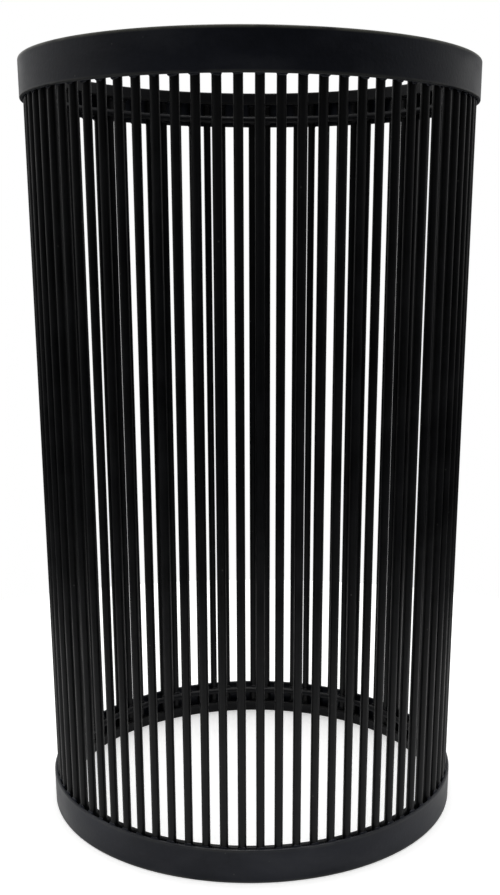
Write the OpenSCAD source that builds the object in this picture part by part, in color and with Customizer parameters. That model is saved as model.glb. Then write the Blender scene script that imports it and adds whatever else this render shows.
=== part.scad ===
// Cylindrical umbrella stand in black powder-coated steel.
//
// Upright round rods stand side by side in a circle. A flat band wraps the rods at each end.
// Inside the rods, each end has a flat hoop level with the band's edge and a thinner wire hoop
// a little further in. The stand is open at the top and at the bottom.
//
// Millimetres, +Z up. The origin is at the centre of the circle that the stand rests on.

/* [Overall] */
// Outside diameter, measured across the two outer bands
body_d = 250; // [180:1:360]
// Height from the floor to the top edge
body_h = 428; // [250:1:650]

/* [Outer bands] */
// Height of the flat bar that each outer band is rolled from
band_h = 20; // [18.5:0.5:40]
// Thickness of that flat bar
band_t = 2; // [1.6:0.1:4]
// Radius of the rounded edges of the bands and the end hoops
bar_edge_r = 0.6; // [0.2:0.1:0.7]

/* [Rods] */
// Number of upright rods in the circle
rod_n = 77; // [40:1:100]
// Diameter of each rod with its coating
rod_d = 4.6; // [3:0.1:5.4]
// How far each rod stops short of the edges of the stand
rod_end_gap = 1; // [0.5:0.5:4]
// Bevel on the cut ends of the rods
rod_bevel = 0.4; // [0.1:0.1:1]

/* [Inner hoops] */
// Height of the flat bar of the end hoops
end_hoop_h = 7; // [4:0.5:12]
// Thickness of that flat bar
end_hoop_t = 3; // [1.6:0.1:5]
// Diameter of the wire hoops
wire_hoop_d = 4; // [2:0.1:5]
// Bare stretch of rod between an end hoop and the wire hoop next to it
hoop_gap = 7; // [2:0.5:12]

/* [Hidden] */
// Every contact between two pieces is a welded line, so each radius follows from the one outside it.
band_outer_r = body_d / 2;
band_inner_r = band_outer_r - band_t;
rod_circle_r = band_inner_r - rod_d / 2;
hoop_outer_r = rod_circle_r - rod_d / 2;
wire_circle_r = hoop_outer_r - wire_hoop_d / 2;
rod_length = body_h - 2 * rod_end_gap;
rod_step = 360 / rod_n;
// The wire hoops' centre lines, measured from the nearer edge of the stand
wire_inset = end_hoop_h + hoop_gap + wire_hoop_d / 2;

// Neighbouring rods share a node two by two, and the last node of an odd count holds one rod.
rods_per_node = 2;
rod_nodes = ceil(rod_n / rods_per_node);
round_facets = 32;
ring_facets = 180;

function two_digits(i) = str(i < 10 ? "0" : "", i);
function rod_node_name(i) = str("rods_", two_digits(i + 1));

RING_NODES = [
    "top_band",
    "top_end_hoop",
    "top_wire_hoop",
    "bottom_band",
    "bottom_end_hoop",
    "bottom_wire_hoop"
];

// Section of a flat bar with its four edges rounded, from the corner nearest the axis.
module bar_section(thickness, height) {
    translate([0, bar_edge_r])
        square([thickness, height - 2 * bar_edge_r]);
    translate([bar_edge_r, 0])
        square([thickness - 2 * bar_edge_r, height]);
    for (x = [bar_edge_r, thickness - bar_edge_r], y = [bar_edge_r, height - bar_edge_r])
        translate([x, y])
            circle(r = bar_edge_r, $fn = round_facets);
}

// Flat bar rolled into a hoop that stands on edge.
module flat_hoop(outer_r, thickness, height) {
    rotate_extrude($fn = ring_facets)
        translate([outer_r - thickness, 0])
            bar_section(thickness, height);
}

// Round wire rolled into a hoop.
module round_hoop(circle_r, wire_d) {
    rotate_extrude($fn = ring_facets)
        translate([circle_r, 0])
            circle(d = wire_d, $fn = round_facets);
}

// One upright rod, cut square and lightly bevelled at both ends.
module rod() {
    r = rod_d / 2;
    rotate_extrude($fn = round_facets)
        polygon([
            [0, 0],
            [r - rod_bevel, 0],
            [r, rod_bevel],
            [r, rod_length - rod_bevel],
            [r - rod_bevel, rod_length],
            [0, rod_length]
        ]);
}

// The rods of one node. Rod 0 stands at the front, on -Y, and the count runs towards +X.
module rod_group(i) {
    first = i * rods_per_node;
    last = min(first + rods_per_node, rod_n) - 1;
    color([0.05, 0.05, 0.055])
        for (k = [first:last])
            rotate([0, 0, k * rod_step])
                translate([0, -rod_circle_r, rod_end_gap])
                    rod();
}

module top_band() {
    color([0.07, 0.07, 0.075])
        translate([0, 0, body_h - band_h])
            flat_hoop(band_outer_r, band_t, band_h);
}

module bottom_band() {
    color([0.07, 0.07, 0.075])
        flat_hoop(band_outer_r, band_t, band_h);
}

module top_end_hoop() {
    color([0.06, 0.06, 0.065])
        translate([0, 0, body_h - end_hoop_h])
            flat_hoop(hoop_outer_r, end_hoop_t, end_hoop_h);
}

module bottom_end_hoop() {
    color([0.06, 0.06, 0.065])
        flat_hoop(hoop_outer_r, end_hoop_t, end_hoop_h);
}

module top_wire_hoop() {
    color([0.06, 0.06, 0.065])
        translate([0, 0, body_h - wire_inset])
            round_hoop(wire_circle_r, wire_hoop_d);
}

module bottom_wire_hoop() {
    color([0.06, 0.06, 0.065])
        translate([0, 0, wire_inset])
            round_hoop(wire_circle_r, wire_hoop_d);
}

top_band();
top_end_hoop();
top_wire_hoop();
bottom_band();
bottom_end_hoop();
bottom_wire_hoop();
for (i = [0:rod_nodes - 1])
    rod_group(i);
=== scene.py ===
import math

import bpy
from mathutils import Matrix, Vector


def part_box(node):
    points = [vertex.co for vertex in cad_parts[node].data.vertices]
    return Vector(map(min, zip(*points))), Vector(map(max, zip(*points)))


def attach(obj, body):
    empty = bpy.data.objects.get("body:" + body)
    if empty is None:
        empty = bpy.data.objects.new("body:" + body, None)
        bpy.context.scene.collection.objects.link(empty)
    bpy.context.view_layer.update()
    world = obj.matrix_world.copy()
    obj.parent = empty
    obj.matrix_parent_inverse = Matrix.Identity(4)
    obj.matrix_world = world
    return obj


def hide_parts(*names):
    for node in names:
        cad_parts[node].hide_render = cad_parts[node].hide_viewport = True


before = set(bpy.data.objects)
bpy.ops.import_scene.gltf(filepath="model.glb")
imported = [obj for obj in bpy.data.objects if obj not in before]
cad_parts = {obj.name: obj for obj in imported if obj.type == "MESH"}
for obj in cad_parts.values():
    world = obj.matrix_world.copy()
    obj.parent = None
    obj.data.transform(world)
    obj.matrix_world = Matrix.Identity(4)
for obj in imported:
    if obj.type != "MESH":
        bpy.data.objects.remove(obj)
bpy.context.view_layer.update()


# ---- Camera ---------------------------------------------------------------------------------
# Stands in front of the stand at about three quarters of its height and looks slightly down, so
# the far side of the top rim shows below the near one. The lens shift only frames the view.
camera_lens = 45.911
camera_sensor = 36.0
camera_shift_x = -0.02785
camera_shift_y = 0.1318
camera_nearest = 0.01
camera_distance = 0.6750
camera_height = 0.3338
camera_azimuth = math.radians(-1.972)
camera_heading = math.radians(3.165)
camera_pitch = math.radians(15.675)
camera_roll = math.radians(0.169)

camera_data = bpy.data.cameras.new("camera")
camera_data.sensor_width = camera_sensor
camera_data.lens = camera_lens
camera_data.shift_x = camera_shift_x
camera_data.shift_y = camera_shift_y
camera_data.clip_start = camera_nearest
camera = bpy.data.objects.new("camera", camera_data)
bpy.context.scene.collection.objects.link(camera)
camera.matrix_world = (
    Matrix.Translation((
        camera_distance * math.sin(camera_azimuth),
        -camera_distance * math.cos(camera_azimuth),
        camera_height,
    ))
    @ Matrix.Rotation(-camera_heading, 4, "Z")
    @ Matrix.Rotation(math.pi / 2 - camera_pitch, 4, "X")
    @ Matrix.Rotation(camera_roll, 4, "Z")
)
bpy.context.scene.camera = camera


# ---- Floor ----------------------------------------------------------------------------------
# A plain round of pale matt board, nearly four times as wide as the stand. It glows a little to
# the camera, so that it is as white as the surround and its edge doesn't show.
floor_radius = 0.46
floor_edge_points = 96
floor_colour = (0.90, 0.90, 0.895, 1.0)
floor_roughness = 0.9
floor_lift = 0.36

floor_mesh = bpy.data.meshes.new("floor")
floor_mesh.from_pydata(
    [
        (
            floor_radius * math.cos(2 * math.pi * point / floor_edge_points),
            floor_radius * math.sin(2 * math.pi * point / floor_edge_points),
            0.0,
        )
        for point in range(floor_edge_points)
    ],
    [],
    [tuple(range(floor_edge_points))],
)
floor = bpy.data.objects.new("floor", floor_mesh)
bpy.context.scene.collection.objects.link(floor)
floor_material = bpy.data.materials.new("pale floor")
floor_material.use_nodes = True
floor_shader = floor_material.node_tree.nodes["Principled BSDF"]
floor_shader.inputs["Base Color"].default_value = floor_colour
floor_shader.inputs["Roughness"].default_value = floor_roughness
floor_shader.inputs["Specular IOR Level"].default_value = 0.0
floor_shader.inputs["Emission Color"].default_value = (1.0, 1.0, 1.0, 1.0)
floor_ray = floor_material.node_tree.nodes.new("ShaderNodeLightPath")
floor_glow = floor_material.node_tree.nodes.new("ShaderNodeMath")
floor_glow.operation = "MULTIPLY"
floor_glow.inputs[1].default_value = floor_lift
floor_material.node_tree.links.new(floor_ray.outputs["Is Camera Ray"], floor_glow.inputs[0])
floor_material.node_tree.links.new(floor_glow.outputs[0], floor_shader.inputs["Emission Strength"])
floor_mesh.materials.append(floor_material)


# ---- Studio light ---------------------------------------------------------------------------
# One large soft light hangs overhead. The surround is white to look at, bright at the sides and
# behind, and dim in front and below the board, as a booth is that is open where one stands.
overhead_strength = 2.0
overhead_spread = math.radians(40)
surround_by_heading = (
    (0.00, 0.20), (0.12, 0.23), (0.22, 0.31), (0.35, 0.48),
    (0.50, 0.76), (0.75, 0.92), (1.00, 0.85),
)
below_share = 0.05
horizon_softness = 0.12
left_gain = 1.12
right_gain = 0.92

overhead_data = bpy.data.lights.new("overhead light", "SUN")
overhead_data.energy = overhead_strength
overhead_data.angle = overhead_spread
overhead = bpy.data.objects.new("overhead light", overhead_data)
bpy.context.scene.collection.objects.link(overhead)

surround = bpy.data.worlds.new("surround")
surround.use_nodes = True
bpy.context.scene.world = surround
surround_tree = surround.node_tree
surround_tree.nodes.clear()


def add_node(tree, kind, inputs=None, **settings):
    """A node of a tree, with its settings. Its inputs are numbers, or sockets to link from."""
    node = tree.nodes.new(kind)
    for name, value in settings.items():
        setattr(node, name, value)
    for name, value in (inputs or {}).items():
        if isinstance(value, bpy.types.NodeSocket):
            tree.links.new(value, node.inputs[name])
        else:
            node.inputs[name].default_value = value
    return node


def sum_of(tree, operation, first, second=0.0):
    """The socket that holds one step of arithmetic."""
    return add_node(tree, "ShaderNodeMath", {0: first, 1: second}, operation=operation).outputs[0]


surround_place = add_node(surround_tree, "ShaderNodeTexCoord").outputs["Generated"]
heading = add_node(surround_tree, "ShaderNodeSeparateXYZ", {0: surround_place})
front_to_back = add_node(
    surround_tree, "ShaderNodeMapRange", {"Value": heading.outputs["Y"], "From Min": -1.0},
)
by_heading = add_node(surround_tree, "ShaderNodeValToRGB", {"Fac": front_to_back.outputs[0]})
stops = by_heading.color_ramp.elements
stops.remove(stops[1])
stops[0].position = surround_by_heading[0][0]
for turn_share, _ in surround_by_heading[1:]:
    stops.new(turn_share)
for stop, (_, brightness) in zip(stops, surround_by_heading):
    stop.color = (brightness, brightness, brightness, 1.0)
left_to_right = add_node(
    surround_tree, "ShaderNodeMapRange",
    {"Value": heading.outputs["X"], "From Min": -1.0, "To Min": left_gain, "To Max": right_gain},
).outputs[0]
above = add_node(
    surround_tree, "ShaderNodeMapRange",
    {
        "Value": heading.outputs["Z"], "From Min": -horizon_softness, "From Max": horizon_softness,
        "To Min": below_share,
    },
).outputs[0]
side_and_height = sum_of(surround_tree, "MULTIPLY", left_to_right, above)
surround_level = sum_of(surround_tree, "MULTIPLY", by_heading.outputs[0], side_and_height)
lit = add_node(surround_tree, "ShaderNodeBackground", {"Strength": surround_level})
seen = add_node(surround_tree, "ShaderNodeBackground", {"Color": (1.0, 1.0, 1.0, 1.0)})
surround_ray = add_node(surround_tree, "ShaderNodeLightPath")
choose = add_node(
    surround_tree, "ShaderNodeMixShader",
    {0: surround_ray.outputs["Is Camera Ray"], 1: lit.outputs[0], 2: seen.outputs[0]},
)
add_node(surround_tree, "ShaderNodeOutputWorld", {"Surface": choose.outputs[0]})
bpy.context.scene.view_settings.view_transform = "Standard"


# ---- Outer bands ----------------------------------------------------------------------------
# Two rings of mild-steel flat bar, rolled on edge and butt-welded, then ground flush. They wrap
# the rods at the top and bottom and carry the same satin black powder coat as the rest.
band_low, band_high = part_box("bottom_band")
rod_low, rod_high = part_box("rods_01")
band_outer_radius = band_high.x
band_height = band_high.z - band_low.z
band_thickness = band_outer_radius + rod_low.y
bar_edge_radius = 0.0008
edge_fillet_steps = 6
band_unevenness = 0.00012
roll_wander_scale = 34.0
band_seam_angle = math.radians(97)
seam_half_width = 0.005
band_seam_depth = 0.00014
section_step = 0.0003
steps_round = 360
# Paler bands along the bar edges. They are partly coat worn thin and partly a painted highlight, strongest
# on the upper edges.
wear_and_highlight_width = 0.0017
wear_and_highlight_full_at = 0.0007
lower_wear_and_highlight_share = 0.3
wear_and_highlight_lost_on_flats = 0.7


def shape_tree(name, sizes):
    """A geometry tree with named size inputs, and its input node."""
    tree = bpy.data.node_groups.new(name, "GeometryNodeTree")
    tree.interface.new_socket("Geometry", in_out="OUTPUT", socket_type="NodeSocketGeometry")
    for size in sizes:
        kind = "NodeSocketInt" if size in ("Count", "First", "Seed") else "NodeSocketFloat"
        tree.interface.new_socket(size, in_out="INPUT", socket_type=kind)
    tree.interface.new_socket("Finish", in_out="INPUT", socket_type="NodeSocketMaterial")
    return tree, tree.nodes.new("NodeGroupInput")


def close_tree(tree, geometry, given):
    """Ends a tree: real geometry, smooth faces, its finish, and the output."""
    real = add_node(tree, "GeometryNodeRealizeInstances", {"Geometry": geometry})
    smooth = add_node(tree, "GeometryNodeSetShadeSmooth", {"Geometry": real.outputs[0]})
    coated = add_node(
        tree, "GeometryNodeSetMaterial",
        {"Geometry": smooth.outputs[0], "Material": given.outputs["Finish"]},
    )
    add_node(tree, "NodeGroupOutput", {"Geometry": coated.outputs[0]})


def make_piece(name, tree, finish, **sizes):
    """Runs a tree with these sizes and keeps the result as a plain mesh on a new object."""
    piece = bpy.data.objects.new(name, bpy.data.meshes.new(name))
    bpy.context.scene.collection.objects.link(piece)
    modifier = piece.modifiers.new(name, "NODES")
    modifier.node_group = tree
    given = {key.replace("_", " ").title(): value for key, value in sizes.items()}
    given["Finish"] = finish
    for socket in tree.interface.items_tree:
        if socket.in_out == "INPUT":
            modifier[socket.identifier] = given[socket.name]
    bpy.context.view_layer.update()
    evaluated = piece.evaluated_get(bpy.context.evaluated_depsgraph_get())
    mesh = bpy.data.meshes.new_from_object(evaluated)
    piece.modifiers.remove(modifier)
    piece.data = mesh
    mesh.name = name
    return piece


def dent_inwards(tree, given, ring):
    """The wander of a hand-fed roll and the flattened stretch at the weld, both inwards only."""
    place = add_node(tree, "GeometryNodeInputPosition").outputs[0]
    wander = add_node(
        tree, "ShaderNodeTexNoise",
        {"Vector": place, "W": given.outputs["Seed"], "Scale": roll_wander_scale, "Detail": 2.0},
        noise_dimensions="4D",
    ).outputs[0]
    turned = add_node(
        tree, "ShaderNodeVectorRotate",
        {"Vector": place, "Angle": sum_of(tree, "MULTIPLY", given.outputs["Seam Angle"], -1.0)},
        rotation_type="Z_AXIS",
    )
    along = add_node(tree, "ShaderNodeSeparateXYZ", {0: turned.outputs[0]})
    aside = sum_of(tree, "ABSOLUTE", along.outputs["Y"])
    dip = add_node(
        tree, "ShaderNodeMapRange",
        {
            "Value": aside, "From Min": 0.0, "From Max": seam_half_width,
            "To Min": given.outputs["Seam Depth"], "To Max": 0.0,
        },
        interpolation_type="SMOOTHSTEP",
    ).outputs[0]
    dip = sum_of(tree, "MULTIPLY", dip, sum_of(tree, "GREATER_THAN", along.outputs["X"], 0.0))
    inward = sum_of(tree, "ADD", sum_of(tree, "MULTIPLY", wander, given.outputs["Unevenness"]), dip)
    normal = add_node(tree, "GeometryNodeInputNormal").outputs[0]
    push = add_node(
        tree, "ShaderNodeVectorMath",
        {0: normal, "Scale": sum_of(tree, "MULTIPLY", inward, -1.0)},
        operation="SCALE",
    ).outputs[0]
    return add_node(tree, "GeometryNodeSetPosition", {"Geometry": ring, "Offset": push}).outputs[0]


def flat_bar_tree():
    """A flat bar with rounded edges, rolled on edge into a ring that stands on Base."""
    tree, given = shape_tree("rolled flat bar", (
        "Outer Radius", "Thickness", "Height", "Edge Radius", "Base",
        "Seam Angle", "Seam Depth", "Unevenness", "Upper Rub", "Seed",
    ))
    section = add_node(
        tree, "GeometryNodeCurvePrimitiveQuadrilateral",
        {"Width": given.outputs["Thickness"], "Height": given.outputs["Height"]},
    )
    rounded = add_node(
        tree, "GeometryNodeFilletCurve",
        {"Curve": section.outputs[0], "Count": edge_fillet_steps, "Radius": given.outputs["Edge Radius"]},
        mode="POLY",
    )
    spaced = add_node(
        tree, "GeometryNodeResampleCurve",
        {"Curve": rounded.outputs[0], "Length": section_step},
        mode="LENGTH",
    )
    half_thickness = sum_of(tree, "MULTIPLY", given.outputs["Thickness"], 0.5)
    middle_radius = sum_of(tree, "SUBTRACT", given.outputs["Outer Radius"], half_thickness)
    path = add_node(
        tree, "GeometryNodeCurvePrimitiveCircle",
        {"Resolution": steps_round, "Radius": middle_radius},
        mode="RADIUS",
    )
    ring = add_node(
        tree, "GeometryNodeCurveToMesh",
        {"Curve": path.outputs[0], "Profile Curve": spaced.outputs[0]},
    ).outputs[0]
    position = add_node(tree, "GeometryNodeInputPosition").outputs[0]
    place = add_node(tree, "ShaderNodeSeparateXYZ", {0: position})
    half_height = sum_of(tree, "MULTIPLY", given.outputs["Height"], 0.5)
    # The paler edge band is partly coat worn thin and partly a painted highlight. It is fullest on the
    # upper edge and on the outer and inner faces.
    wear_and_highlight_starts = sum_of(tree, "SUBTRACT", half_height, wear_and_highlight_width)
    wear_and_highlight_ends = sum_of(tree, "SUBTRACT", half_height, wear_and_highlight_full_at)
    upper_rub = add_node(
        tree, "ShaderNodeMapRange",
        {
            "Value": place.outputs["Z"], "From Min": wear_and_highlight_starts, "From Max": wear_and_highlight_ends,
            "To Max": given.outputs["Upper Rub"],
        },
    ).outputs[0]
    lower_wear_and_highlight = add_node(
        tree, "ShaderNodeMapRange",
        {
            "Value": sum_of(tree, "MULTIPLY", place.outputs["Z"], -1.0),
            "From Min": wear_and_highlight_starts, "From Max": wear_and_highlight_ends, "To Max": lower_wear_and_highlight_share,
        },
    ).outputs[0]
    normal = add_node(tree, "GeometryNodeInputNormal").outputs[0]
    lie = add_node(tree, "ShaderNodeSeparateXYZ", {0: normal}).outputs["Z"]
    lost = sum_of(tree, "MULTIPLY", sum_of(tree, "MULTIPLY", lie, lie), wear_and_highlight_lost_on_flats)
    kept = sum_of(tree, "SUBTRACT", 1.0, lost)
    rub = sum_of(tree, "MULTIPLY", sum_of(tree, "ADD", upper_rub, lower_wear_and_highlight), kept)
    ring = add_node(
        tree, "GeometryNodeStoreNamedAttribute",
        {"Geometry": ring, "Name": "edge_wear_and_highlight", "Value": rub},
        data_type="FLOAT", domain="POINT",
    ).outputs[0]
    ring = dent_inwards(tree, given, ring)
    middle_height = sum_of(tree, "ADD", given.outputs["Base"], half_height)
    lift = add_node(tree, "ShaderNodeCombineXYZ", {"Z": middle_height})
    stood = add_node(tree, "GeometryNodeSetPosition", {"Geometry": ring, "Offset": lift.outputs[0]})
    close_tree(tree, stood.outputs[0], given)
    return tree


cloud_stretch = (1.0, 1.0, 2.4)
cloud_scale = 16.0
cloud_swirl = 0.6
mottle_scale = 380.0
mottle_share = 0.25
cloud_contrast = 0.8
cloud_roughness_swing = 0.07
haze_scale = 24.0
haze_swirl = 0.35
haze_colour = (0.046, 0.049, 0.058, 1.0)
haze_roughening = 0.25
# Colour of the paler edges: worn coat and painted highlight.
wear_and_highlight_scale = 70.0
wear_and_highlight_colour = (0.150, 0.150, 0.126, 1.0)
wear_and_highlight_smoothing = 0.12
speck_scale = 210.0
speck_outer = 0.13
speck_inner = 0.05
speck_rarity = 0.93
speck_strength = 0.35
speck_colour = (0.120, 0.118, 0.110, 1.0)
dust_scale = 1300.0
dust_lies_above = 0.45
dust_strength = 0.32
dust_colour = (0.150, 0.146, 0.135, 1.0)
peel_scale = 620.0
tooth_scale = 3400.0
tooth_share = 0.22
relief_strength = 0.7
relief_depth = 0.00009


def powder_coat(name, deep, lifted, roughness, gloss, rubbed_and_highlit=0.0, haze=0.0):
    """Satin black powder coat: two near blacks in long soft clouds, a haze of handling, an orange-peel
    surface with a fine tooth, specks of dust, and paler edges, partly where the coat pulls thin and partly
    a painted highlight."""
    material = bpy.data.materials.new(name)
    material.use_nodes = True
    tree = material.node_tree
    shader = tree.nodes["Principled BSDF"]
    place = add_node(tree, "ShaderNodeTexCoord").outputs["Object"]

    def noise(scale, detail, where=place, distortion=0.0):
        return add_node(
            tree, "ShaderNodeTexNoise",
            {"Vector": where, "Scale": scale, "Detail": detail, "Distortion": distortion},
        ).outputs[0]

    def ramp(value, low, high, top=1.0):
        return add_node(
            tree, "ShaderNodeMapRange", {"Value": value, "From Min": low, "From Max": high, "To Max": top},
        ).outputs[0]

    def blend(factor, first, second):
        return add_node(
            tree, "ShaderNodeMix", {"Factor": factor, "A": first, "B": second}, data_type="RGBA",
        ).outputs["Result"]

    lying = add_node(tree, "ShaderNodeMapping", {"Vector": place, "Scale": cloud_stretch}).outputs[0]
    clouds = noise(cloud_scale, 4.0, lying, cloud_swirl)
    mottle = noise(mottle_scale, 3.0)
    own_shade = add_node(tree, "ShaderNodeAttribute", attribute_name="own_shade").outputs["Fac"]
    broad = sum_of(tree, "MULTIPLY", clouds, 1.0 - mottle_share)
    fine = sum_of(tree, "MULTIPLY", mottle, mottle_share)
    tone = ramp(sum_of(tree, "ADD", broad, fine), 0.34, 0.66)
    tone = sum_of(tree, "ADD", sum_of(tree, "MULTIPLY", tone, cloud_contrast), own_shade)
    colour = blend(tone, deep, lifted)

    handled = ramp(noise(haze_scale, 4.0, lying, haze_swirl), 0.46, 0.72, haze)
    colour = blend(handled, colour, haze_colour)

    # Paler edges: partly coat worn thin, partly a painted highlight.
    edge = add_node(tree, "ShaderNodeAttribute", attribute_name="edge_wear_and_highlight").outputs["Fac"]
    worn_and_highlit = sum_of(tree, "MULTIPLY", edge, ramp(noise(wear_and_highlight_scale, 5.0), 0.24, 0.52, rubbed_and_highlit))
    colour = blend(worn_and_highlit, colour, wear_and_highlight_colour)

    cells = add_node(tree, "ShaderNodeTexVoronoi", {"Vector": place, "Scale": speck_scale})
    near_speck = ramp(cells.outputs["Distance"], speck_outer, speck_inner)
    draw = add_node(tree, "ShaderNodeSeparateColor", {0: cells.outputs["Color"]}).outputs[0]
    chosen = sum_of(tree, "GREATER_THAN", draw, speck_rarity)
    speck = sum_of(tree, "MULTIPLY", sum_of(tree, "MULTIPLY", near_speck, chosen), speck_strength)
    colour = blend(speck, colour, speck_colour)

    normal = add_node(tree, "ShaderNodeNewGeometry").outputs["Normal"]
    facing = add_node(tree, "ShaderNodeSeparateXYZ", {0: normal})
    upward = ramp(facing.outputs["Z"], dust_lies_above, 1.0)
    dust = ramp(noise(dust_scale, 2.0), 0.42, 0.75, dust_strength)
    colour = blend(sum_of(tree, "MULTIPLY", upward, dust), colour, dust_colour)
    tree.links.new(colour, shader.inputs["Base Color"])

    sheen = add_node(
        tree, "ShaderNodeMapRange",
        {
            "Value": clouds, "From Min": 0.3, "From Max": 0.7,
            "To Min": roughness - cloud_roughness_swing, "To Max": roughness + cloud_roughness_swing,
        },
    ).outputs[0]
    sheen = sum_of(tree, "ADD", sheen, sum_of(tree, "MULTIPLY", handled, haze_roughening))
    sheen = sum_of(tree, "SUBTRACT", sheen, sum_of(tree, "MULTIPLY", worn_and_highlit, wear_and_highlight_smoothing))
    tree.links.new(sheen, shader.inputs["Roughness"])

    peel = noise(peel_scale, 1.5)
    tooth = sum_of(tree, "MULTIPLY", noise(tooth_scale, 2.0), tooth_share)
    relief = sum_of(tree, "ADD", peel, tooth)
    bump = add_node(
        tree, "ShaderNodeBump",
        {"Height": relief, "Strength": relief_strength, "Distance": relief_depth},
    )
    tree.links.new(bump.outputs[0], shader.inputs["Normal"])
    shader.inputs["Specular IOR Level"].default_value = gloss
    return material


band_coat = powder_coat(
    "band coat", (0.0018, 0.0032, 0.0080, 1.0), (0.0105, 0.0126, 0.0215, 1.0),
    roughness=0.40, gloss=0.25, rubbed_and_highlit=1.0, haze=0.36,
)
flat_bar = flat_bar_tree()
# Painted highlight and wear on the upper edge: full on the top band, faint on the bottom band.
for node, upper_rub, seed in (("top_band", 1.0, 3), ("bottom_band", 0.14, 8)):
    low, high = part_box(node)
    band = make_piece(
        node + "_coated", flat_bar, band_coat,
        outer_radius=band_outer_radius, thickness=band_thickness, height=band_height,
        edge_radius=bar_edge_radius, base=low.z,
        seam_angle=band_seam_angle, seam_depth=band_seam_depth,
        unevenness=band_unevenness, upper_rub=upper_rub, seed=seed,
    )
    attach(band, "root")
    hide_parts(node)


# ---- End hoops ------------------------------------------------------------------------------
# Narrower rings of flat bar inside the rods, level with the edges of the bands. The ends of the
# rods are welded to them, and the stand rests on the lower one as well as on its band.
end_hoop_thickness = 0.003
end_hoop_unevenness = 0.00008
end_hoop_seam_depth = 0.0001
end_hoop_seam_angle = math.radians(64)
# Painted highlight and wear on the end hoops' upper edges.
end_hoop_wear_and_highlight = 0.3

hoop_coat = powder_coat(
    "hoop coat", (0.0028, 0.0030, 0.0044, 1.0), (0.0070, 0.0074, 0.0090, 1.0),
    roughness=0.44, gloss=0.20, rubbed_and_highlit=0.2, haze=0.06,
)
for node, seed in (("top_end_hoop", 5), ("bottom_end_hoop", 11)):
    low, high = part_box(node)
    hoop = make_piece(
        node + "_coated", flat_bar, hoop_coat,
        outer_radius=high.x, thickness=end_hoop_thickness, height=high.z - low.z,
        edge_radius=bar_edge_radius, base=low.z,
        seam_angle=end_hoop_seam_angle, seam_depth=end_hoop_seam_depth,
        unevenness=end_hoop_unevenness, upper_rub=end_hoop_wear_and_highlight, seed=seed,
    )
    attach(hoop, "root")
    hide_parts(node)


# ---- Wire hoops -----------------------------------------------------------------------------
# Rings of round wire a little way in from the end hoops. They hold the rods in step while the
# stand is welded, one cross-wire weld to each rod.
wire_unevenness = 0.00004
wire_seam_depth = 0.00008
wire_seam_angle = math.radians(118)
wire_sides = 24


def wire_hoop_tree():
    """Round wire rolled into a ring whose lowest point is at Base."""
    tree, given = shape_tree("rolled wire", (
        "Outer Radius", "Thickness", "Base", "Seam Angle", "Seam Depth", "Unevenness", "Seed",
    ))
    wire_radius = sum_of(tree, "MULTIPLY", given.outputs["Thickness"], 0.5)
    section = add_node(
        tree, "GeometryNodeCurvePrimitiveCircle",
        {"Resolution": wire_sides, "Radius": wire_radius},
        mode="RADIUS",
    )
    middle_radius = sum_of(tree, "SUBTRACT", given.outputs["Outer Radius"], wire_radius)
    path = add_node(
        tree, "GeometryNodeCurvePrimitiveCircle",
        {"Resolution": steps_round, "Radius": middle_radius},
        mode="RADIUS",
    )
    ring = add_node(
        tree, "GeometryNodeCurveToMesh",
        {"Curve": path.outputs[0], "Profile Curve": section.outputs[0]},
    ).outputs[0]
    ring = dent_inwards(tree, given, ring)
    middle_height = sum_of(tree, "ADD", given.outputs["Base"], wire_radius)
    lift = add_node(tree, "ShaderNodeCombineXYZ", {"Z": middle_height})
    stood = add_node(tree, "GeometryNodeSetPosition", {"Geometry": ring, "Offset": lift.outputs[0]})
    close_tree(tree, stood.outputs[0], given)
    return tree


rolled_wire = wire_hoop_tree()
for node, seed in (("top_wire_hoop", 2), ("bottom_wire_hoop", 7)):
    low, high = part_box(node)
    hoop = make_piece(
        node + "_coated", rolled_wire, hoop_coat,
        outer_radius=high.x, thickness=high.z - low.z, base=low.z,
        seam_angle=wire_seam_angle, seam_depth=wire_seam_depth,
        unevenness=wire_unevenness, seed=seed,
    )
    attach(hoop, "root")
    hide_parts(node)


# ---- Upright rods ---------------------------------------------------------------------------
# Straight lengths of drawn round wire, cut and lightly bevelled, tangent to the bands outside
# them and to the hoops inside them. Two neighbours share a node.
rod_count = 77
rods_per_node = 2
rod_bevel = 0.0004
rod_sides = 24
rod_rings = 12
rod_shade_spread = 0.22
rod_shade_seed = 4
single_low, single_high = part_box("rods_39")
rod_diameter = (single_high - single_low).xy.length / math.sqrt(2)
rod_circle_radius = band_outer_radius - band_thickness - rod_diameter / 2
rod_length = rod_high.z - rod_low.z
rod_step = 2 * math.pi / rod_count


def rod_points(tree, given):
    """One point for each rod, its angle round the stand, and its own number from First."""
    index = add_node(tree, "GeometryNodeInputIndex").outputs[0]
    number = sum_of(tree, "ADD", index, given.outputs["First"])
    angle = sum_of(tree, "MULTIPLY", number, given.outputs["Step"])
    radius = given.outputs["Circle Radius"]
    frontward = sum_of(tree, "MULTIPLY", radius, -1.0)
    where = add_node(tree, "ShaderNodeCombineXYZ", {
        "X": sum_of(tree, "MULTIPLY", sum_of(tree, "SINE", angle), radius),
        "Y": sum_of(tree, "MULTIPLY", sum_of(tree, "COSINE", angle), frontward),
        "Z": given.outputs["Base"],
    })
    points = add_node(
        tree, "GeometryNodePoints", {"Count": given.outputs["Count"], "Position": where.outputs[0]},
    ).outputs[0]
    turn = add_node(tree, "ShaderNodeCombineXYZ", {"Z": angle}).outputs[0]
    return points, turn, number


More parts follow.
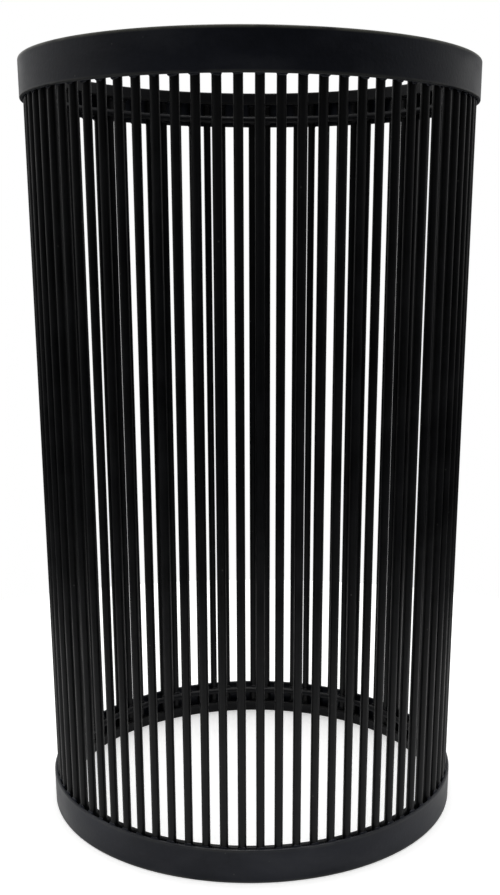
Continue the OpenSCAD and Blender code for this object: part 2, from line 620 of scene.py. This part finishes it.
def rod_tree():
    """A run of rods round the circle, each with bevelled ends."""
    tree, given = shape_tree("upright rods", (
        "Circle Radius", "Diameter", "Length", "Bevel", "Base", "Step", "Count", "First", "Seed",
    ))
    line = add_node(tree, "GeometryNodeCurvePrimitiveLine").outputs[0]
    line = add_node(
        tree, "GeometryNodeResampleCurve", {"Curve": line, "Count": rod_rings}, mode="COUNT",
    ).outputs[0]
    ring = add_node(tree, "GeometryNodeInputIndex").outputs[0]
    share = sum_of(tree, "DIVIDE", sum_of(tree, "SUBTRACT", ring, 1.0), float(rod_rings - 3))
    straight = sum_of(
        tree, "SUBTRACT", given.outputs["Length"], sum_of(tree, "MULTIPLY", given.outputs["Bevel"], 2.0),
    )
    height = sum_of(tree, "ADD", sum_of(tree, "MULTIPLY", straight, share), given.outputs["Bevel"])
    height = add_node(
        tree, "ShaderNodeClamp", {"Value": height, "Min": 0.0, "Max": given.outputs["Length"]},
    ).outputs[0]
    ring_place = add_node(tree, "ShaderNodeCombineXYZ", {"Z": height}).outputs[0]
    line = add_node(
        tree, "GeometryNodeSetPosition", {"Geometry": line, "Position": ring_place},
    ).outputs[0]
    from_middle = sum_of(tree, "ABSOLUTE", sum_of(tree, "SUBTRACT", ring, (rod_rings - 1) / 2))
    at_end = sum_of(tree, "GREATER_THAN", from_middle, (rod_rings - 2) / 2)
    rod_radius = sum_of(tree, "MULTIPLY", given.outputs["Diameter"], 0.5)
    cut = sum_of(tree, "DIVIDE", given.outputs["Bevel"], rod_radius)
    scale = sum_of(tree, "SUBTRACT", 1.0, sum_of(tree, "MULTIPLY", at_end, cut))
    line = add_node(tree, "GeometryNodeSetCurveRadius", {"Curve": line, "Radius": scale}).outputs[0]
    section = add_node(
        tree, "GeometryNodeCurvePrimitiveCircle",
        {"Resolution": rod_sides, "Radius": rod_radius},
        mode="RADIUS",
    )
    rod = add_node(
        tree, "GeometryNodeCurveToMesh",
        {"Curve": line, "Profile Curve": section.outputs[0], "Fill Caps": True},
    )
    points, turn, number = rod_points(tree, given)
    rods = add_node(
        tree, "GeometryNodeInstanceOnPoints",
        {"Points": points, "Instance": rod.outputs[0], "Rotation": turn},
    )
    shade = add_node(
        tree, "FunctionNodeRandomValue",
        {
            "Min": -rod_shade_spread, "Max": rod_shade_spread, "ID": number,
            "Seed": given.outputs["Seed"],
        },
        data_type="FLOAT",
    )
    shaded = add_node(
        tree, "GeometryNodeStoreNamedAttribute",
        {"Geometry": rods.outputs[0], "Name": "own_shade", "Value": shade.outputs["Value"]},
        data_type="FLOAT", domain="INSTANCE",
    )
    close_tree(tree, shaded.outputs[0], given)
    return tree


# The rods' coat is darker than the bands', though it is the same powder coat: painted shade for the rods
# standing in each other's shade.
rod_coat = powder_coat(
    "rod coat", (0.0013, 0.0015, 0.0021, 1.0), (0.0047, 0.0051, 0.0060, 1.0),
    roughness=0.38, gloss=0.21, haze=0.05,
)
upright_rods = rod_tree()
rod_nodes = sorted(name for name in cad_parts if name.startswith("rods_"))
for place, node in enumerate(rod_nodes):
    first = place * rods_per_node
    rods = make_piece(
        node + "_coated", upright_rods, rod_coat,
        circle_radius=rod_circle_radius, diameter=rod_diameter, length=rod_length, bevel=rod_bevel,
        base=rod_low.z, step=rod_step, count=min(rods_per_node, rod_count - first),
        first=first, seed=rod_shade_seed,
    )
    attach(rods, "root")
    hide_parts(node)


# ---- Weld beads -----------------------------------------------------------------------------
# Small beads of weld under the coat: a tack inside the edge of the band at each rod, a cross-wire
# weld at each wire hoop, and a tack at the inner edge of each end hoop.
bead_sides = 8
bead_rings = 5
bead_size_spread = 0.14
bead_lumpiness = 0.00035
bead_lump_scale = 520.0
bead_turn = math.radians(16)


def weld_tree():
    """A ring of beads, one to a rod, each a little different in size and set."""
    tree, given = shape_tree("weld beads", (
        "Circle Radius", "Base", "Width", "Depth", "Rise", "Step", "Count", "First", "Seed",
    ))
    ball = add_node(
        tree, "GeometryNodeMeshUVSphere", {"Segments": bead_sides, "Rings": bead_rings, "Radius": 0.5},
    )
    size = add_node(tree, "ShaderNodeCombineXYZ", {
        "X": given.outputs["Width"], "Y": given.outputs["Depth"], "Z": given.outputs["Rise"],
    })
    bead = add_node(
        tree, "GeometryNodeTransform", {"Geometry": ball.outputs["Mesh"], "Scale": size.outputs[0]},
    )
    points, turn, number = rod_points(tree, given)
    spread = add_node(
        tree, "FunctionNodeRandomValue",
        {
            "Min": 1.0 - bead_size_spread, "Max": 1.0 + bead_size_spread, "ID": number,
            "Seed": given.outputs["Seed"],
        },
        data_type="FLOAT",
    )
    tilt = add_node(
        tree, "FunctionNodeRandomValue",
        {
            "Min": -bead_turn, "Max": bead_turn, "ID": number,
            "Seed": sum_of(tree, "ADD", given.outputs["Seed"], 1.0),
        },
        data_type="FLOAT",
    )
    lean = add_node(tree, "ShaderNodeCombineXYZ", {"Y": tilt.outputs["Value"]})
    beads = add_node(
        tree, "GeometryNodeInstanceOnPoints",
        {
            "Points": points, "Instance": bead.outputs[0], "Rotation": turn,
            "Scale": spread.outputs["Value"],
        },
    )
    leant = add_node(
        tree, "GeometryNodeRotateInstances",
        {"Instances": beads.outputs[0], "Rotation": lean.outputs[0], "Local Space": True},
    )
    real = add_node(tree, "GeometryNodeRealizeInstances", {"Geometry": leant.outputs[0]})
    position = add_node(tree, "GeometryNodeInputPosition").outputs[0]
    normal = add_node(tree, "GeometryNodeInputNormal").outputs[0]
    swell = add_node(
        tree, "ShaderNodeTexNoise", {"Vector": position, "Scale": bead_lump_scale, "Detail": 1.0},
    ).outputs[0]
    lump = sum_of(tree, "MULTIPLY", sum_of(tree, "SUBTRACT", swell, 0.5), bead_lumpiness)
    outward = add_node(
        tree, "ShaderNodeVectorMath", {0: normal, "Scale": lump}, operation="SCALE",
    ).outputs[0]
    lumpy = add_node(tree, "GeometryNodeSetPosition", {"Geometry": real.outputs[0], "Offset": outward})
    close_tree(tree, lumpy.outputs[0], given)
    return tree


weld_beads = weld_tree()
stand_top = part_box("top_band")[1].z
band_inner_radius = band_outer_radius - band_thickness
hoop_outer_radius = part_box("top_end_hoop")[1].x
end_hoop_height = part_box("bottom_end_hoop")[1].z
wire_low, wire_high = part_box("bottom_wire_hoop")
wire_height = (wire_low.z + wire_high.z) / 2
tack_sink = 0.0004
band_tack_below_edge = 0.0009
end_tack_below_edge = 0.0002


def weld_rings(name, finish, radius, inset, width, depth, rise, seed):
    """One ring of beads near the top edge and its like near the bottom edge, inset from each."""
    for end, height in (("top", stand_top - inset), ("bottom", inset)):
        beads = make_piece(
            end + "_" + name, weld_beads, finish,
            circle_radius=radius, base=height, width=width, depth=depth, rise=rise,
            step=rod_step, count=rod_count, first=0, seed=seed + len(end),
        )
        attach(beads, "root")


weld_rings(
    "band_tacks", band_coat,
    radius=band_inner_radius - tack_sink, inset=band_height - band_tack_below_edge,
    width=0.0055, depth=0.0018, rise=0.0034, seed=20,
)
weld_rings(
    "wire_hoop_welds", hoop_coat,
    radius=hoop_outer_radius, inset=wire_height,
    width=0.0064, depth=0.0022, rise=0.0058, seed=25,
)
weld_rings(
    "end_hoop_tacks", hoop_coat,
    radius=hoop_outer_radius, inset=end_hoop_height - end_tack_below_edge,
    width=0.0058, depth=0.0020, rise=0.0034, seed=30,
)
